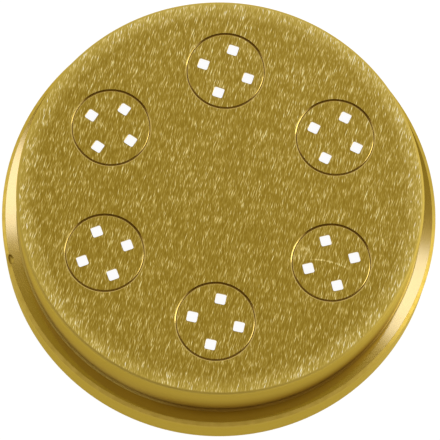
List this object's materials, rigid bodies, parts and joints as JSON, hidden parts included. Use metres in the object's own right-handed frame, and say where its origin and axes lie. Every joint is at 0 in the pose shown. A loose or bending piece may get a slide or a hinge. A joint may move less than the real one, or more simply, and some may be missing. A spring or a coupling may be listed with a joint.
{
  "type": "pasta extrusion die",
  "caption": "Round brass pasta extrusion die: a necked and flanged body with a dough chamber behind its face, and pressed-in inserts with square holes.",
  "frame": {"origin": "centre of the back rim's plane, on the die's axis", "axes": "+Z along the die's axis, from the back rim to the face; +Y towards the first insert"},
  "size_m": [0.078, 0.078, 0.0215],
  "materials": {
    "turned_brass": "turned and polished sides, sanded face",
    "insert_brass": "turned, nose sanded flush with the face"
  },
  "bodies": {
    "root": {"die_body": "turned_brass", "insert_1": "insert_brass", "insert_2": "insert_brass", "insert_3": "insert_brass", "insert_4": "insert_brass", "insert_5": "insert_brass", "insert_6": "insert_brass"}
  },
  "joints": []
}
